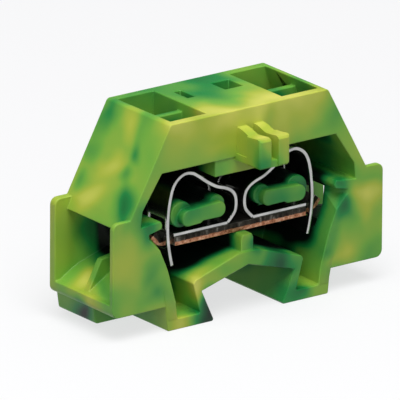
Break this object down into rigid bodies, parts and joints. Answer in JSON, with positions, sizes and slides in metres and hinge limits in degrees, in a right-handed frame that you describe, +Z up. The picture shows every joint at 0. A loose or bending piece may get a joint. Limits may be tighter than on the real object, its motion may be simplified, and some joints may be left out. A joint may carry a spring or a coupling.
{
  "type": "rail terminal block",
  "caption": "Rail-mounted terminal block for several conductors: open-front moulding with end funnels, current bar, bent strip springs with windowed clamping legs, hooked feet and latch pegs.",
  "frame": {"origin": "middle of the bounding box in X and Y, on the underside of the feet", "axes": "+X along the block towards one wire funnel, -Y the open front with the latch pegs, +Z up away from the rail"},
  "size_m": [0.044, 0.0196, 0.0283],
  "materials": {
    "moulding": "fine satin moulded polyamide, marbled green",
    "moulding_light": "fine satin moulded polyamide, marbled yellow",
    "spring_steel": "bright rolled spring steel",
    "tinned_copper": "tin plated copper with sheared bare edges"
  },
  "bodies": {
    "block": {"back_wall": "moulding", "top_deck": "moulding", "front_web": "moulding_light", "slope_wall_left": "moulding_light", "slope_wall_right": "moulding_light", "slot_divider_left": "moulding_light", "slot_divider_right": "moulding_light", "flange_front_left": "moulding", "flange_front_right": "moulding", "flange_back_left": "moulding", "flange_back_right": "moulding", "funnel_floor_left": "moulding", "funnel_floor_right": "moulding", "funnel_rib_left": "moulding", "funnel_rib_right": "moulding", "guide_arm_left": "moulding", "guide_arm_right": "moulding", "foot_left": "moulding", "foot_right": "moulding", "rear_pad_left": "moulding", "rear_pad_right": "moulding", "rail_roof": "moulding", "bar_boss": "moulding", "spring_post_left": "moulding", "spring_post_right": "moulding", "latch_pegs": "moulding_light", "current_bar": "tinned_copper", "contact_leg_front_left": "spring_steel", "contact_leg_front_right": "spring_steel", "contact_leg_rear_left": "spring_steel", "contact_leg_rear_right": "spring_steel"},
    "spring_front_left": {"clamp_arm_front_left": "spring_steel"},
    "spring_front_right": {"clamp_arm_front_right": "spring_steel"},
    "spring_rear_left": {"clamp_arm_rear_left": "spring_steel"},
    "spring_rear_right": {"clamp_arm_rear_right": "spring_steel"}
  },
  "joints": [
    {"name": "clamp_arm_front_left_press", "type": "hinge", "parent": "block", "child": "spring_front_left", "pos_m": [-0.0024, -0.00015, 0.01236], "axis": [0, -1, 0], "range_deg": [0, 12], "stiffness_Nm_per_rad": 0.1},
    {"name": "clamp_arm_front_right_press", "type": "hinge", "parent": "block", "child": "spring_front_right", "pos_m": [0.0024, -0.00015, 0.01236], "axis": [0, 1, 0], "range_deg": [0, 12], "stiffness_Nm_per_rad": 0.1},
    {"name": "clamp_arm_rear_left_press", "type": "hinge", "parent": "block", "child": "spring_rear_left", "pos_m": [-0.0024, 0.00565, 0.01236], "axis": [0, -1, 0], "range_deg": [0, 12], "stiffness_Nm_per_rad": 0.1},
    {"name": "clamp_arm_rear_right_press", "type": "hinge", "parent": "block", "child": "spring_rear_right", "pos_m": [0.0024, 0.00565, 0.01236], "axis": [0, 1, 0], "range_deg": [0, 12], "stiffness_Nm_per_rad": 0.1}
  ]
}
